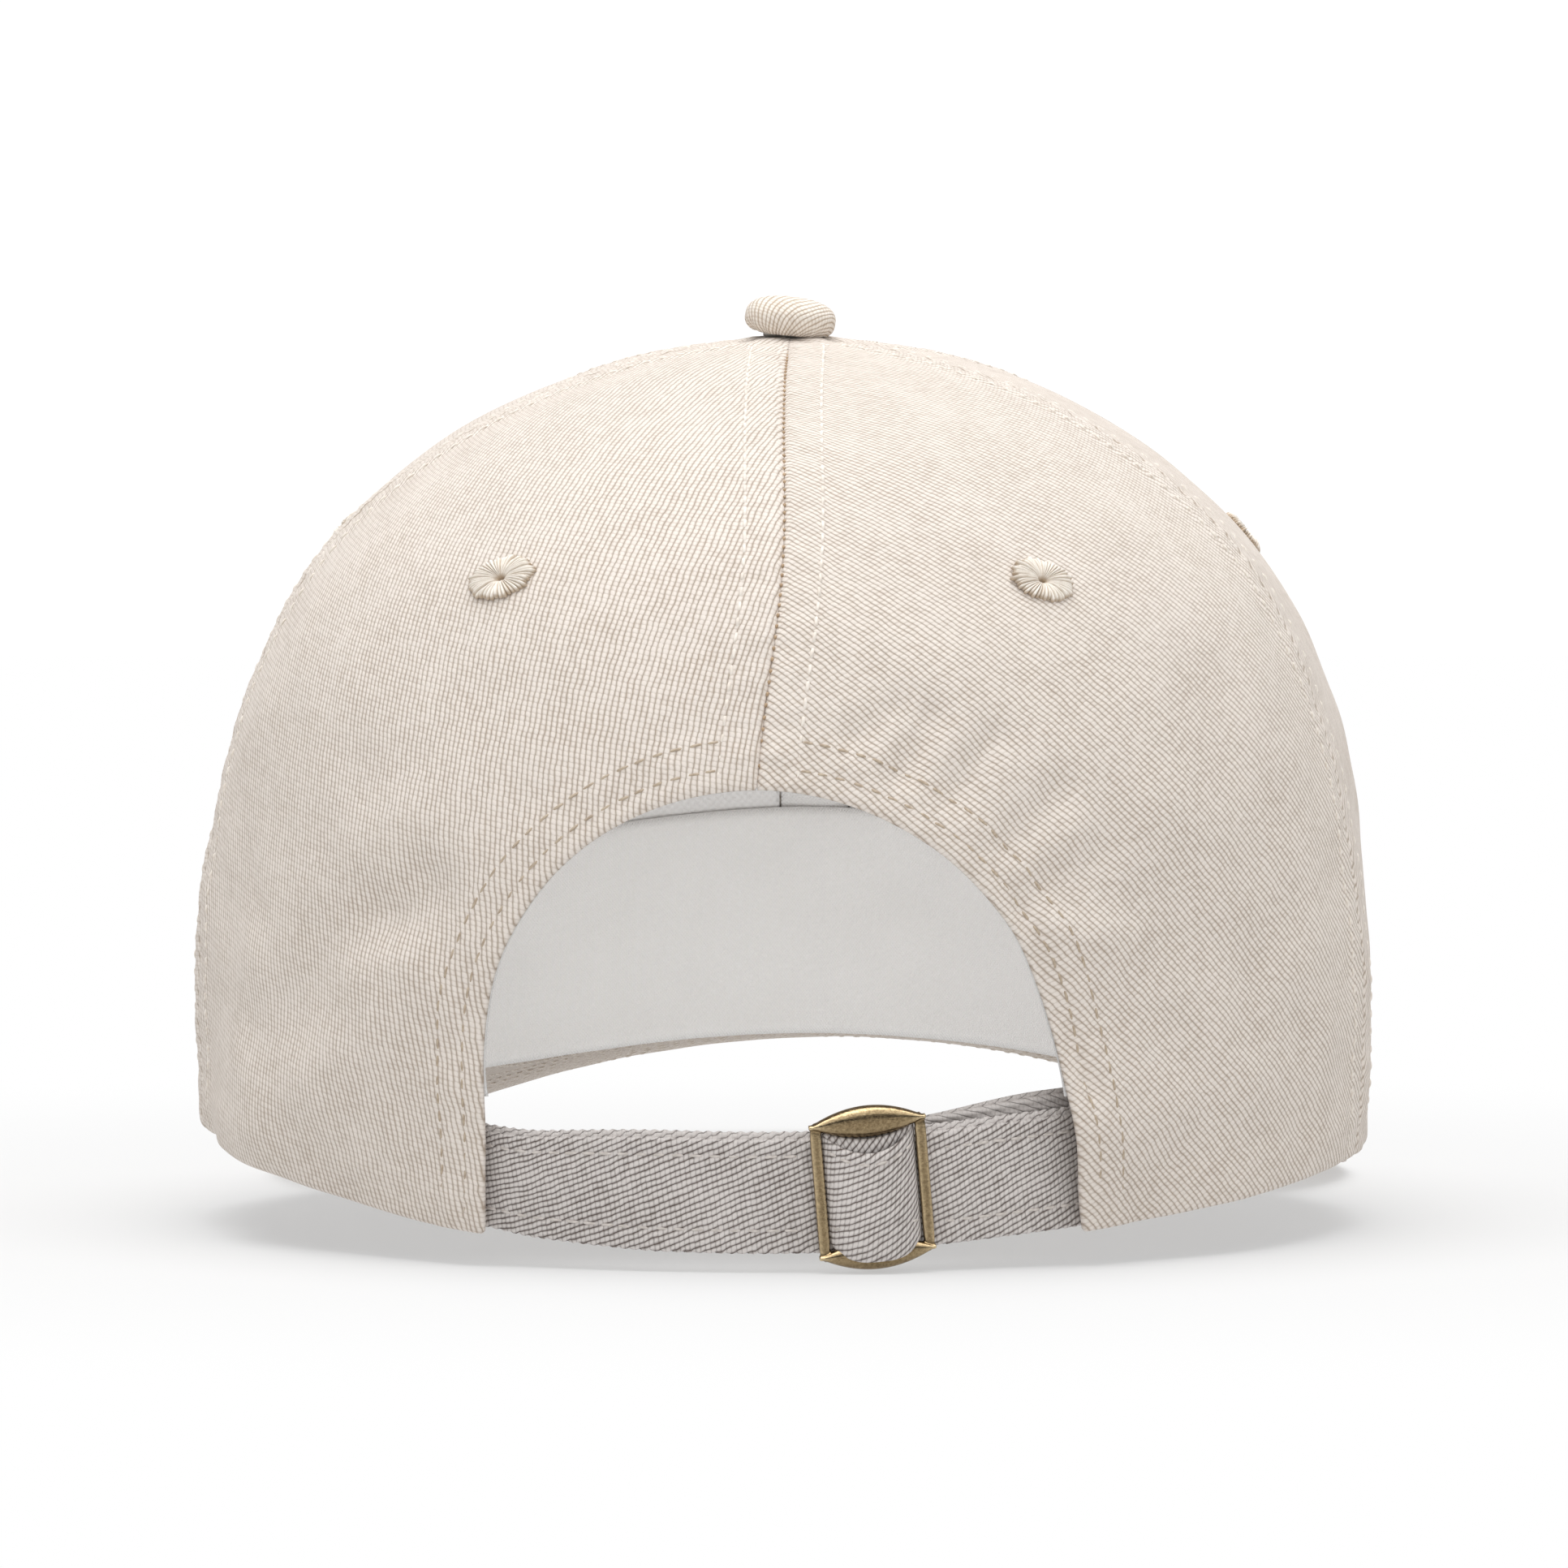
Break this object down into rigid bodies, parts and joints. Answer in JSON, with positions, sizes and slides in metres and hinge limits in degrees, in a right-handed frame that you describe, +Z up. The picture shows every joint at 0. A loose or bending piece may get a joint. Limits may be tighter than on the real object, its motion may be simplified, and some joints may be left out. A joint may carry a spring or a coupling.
{
  "type": "baseball cap",
  "caption": "Baseball cap in stone cotton twill: panelled crown with a covered button and eyelets, curved visor, rear arch opening, and a self-fabric strap with a slide buckle.",
  "frame": {"origin": "centre of the cap's footprint on the table it rests on", "axes": "+Z up, -Y towards the tip of the visor, +Y towards the rear arch, +X towards the wearer's left"},
  "size_m": [0.1716, 0.2676, 0.1346],
  "materials": {
    "crown_twill": "stone beige cotton twill, matte, fine diagonal ribs",
    "strap_twill": "the same twill in the shade, coarser diagonal ribs",
    "embroidery_thread": "cream polyester embroidery thread, slight sheen",
    "lining": "off-white woven cotton tape",
    "sweatband_cloth": "pale soft cotton",
    "buckram": "stiff open-weave white buckram",
    "visor_plastic": "white polyethylene sheet",
    "antique_brass": "antique brass plate, dark in the hollows and bright on worn edges",
    "button_steel": "bare pressed steel, hidden"
  },
  "bodies": {
    "crown": {"rear_panel_left": "crown_twill", "side_panel_left": "crown_twill", "front_panel_left": "crown_twill", "rear_eyelet_left": "embroidery_thread", "side_eyelet_left": "embroidery_thread", "front_eyelet_left": "embroidery_thread", "rear_side_seam_tape_left": "lining", "front_side_seam_tape_left": "lining", "front_buckram_left": "buckram", "rear_panel_right": "crown_twill", "side_panel_right": "crown_twill", "front_panel_right": "crown_twill", "rear_eyelet_right": "embroidery_thread", "side_eyelet_right": "embroidery_thread", "front_eyelet_right": "embroidery_thread", "rear_side_seam_tape_right": "lining", "front_side_seam_tape_right": "lining", "front_buckram_right": "buckram", "rear_seam_tape": "lining", "front_seam_tape": "lining", "sweatband": "sweatband_cloth", "arch_binding": "crown_twill", "button_cover": "crown_twill", "button_core": "button_steel", "button_washer": "button_steel", "visor_top_cover": "crown_twill", "visor_board": "visor_plastic", "visor_under_cover": "crown_twill", "long_strap": "strap_twill"},
    "slider": {"buckle_frame": "antique_brass", "strap_fold": "strap_twill", "short_strap": "strap_twill"}
  },
  "joints": [
    {"name": "buckle_slide", "type": "hinge", "parent": "crown", "child": "slider", "pos_m": [0, 0.05354, 0.0166], "axis": [0.0209, 0.068, 0.9975], "range_deg": [-20, 6]}
  ]
}
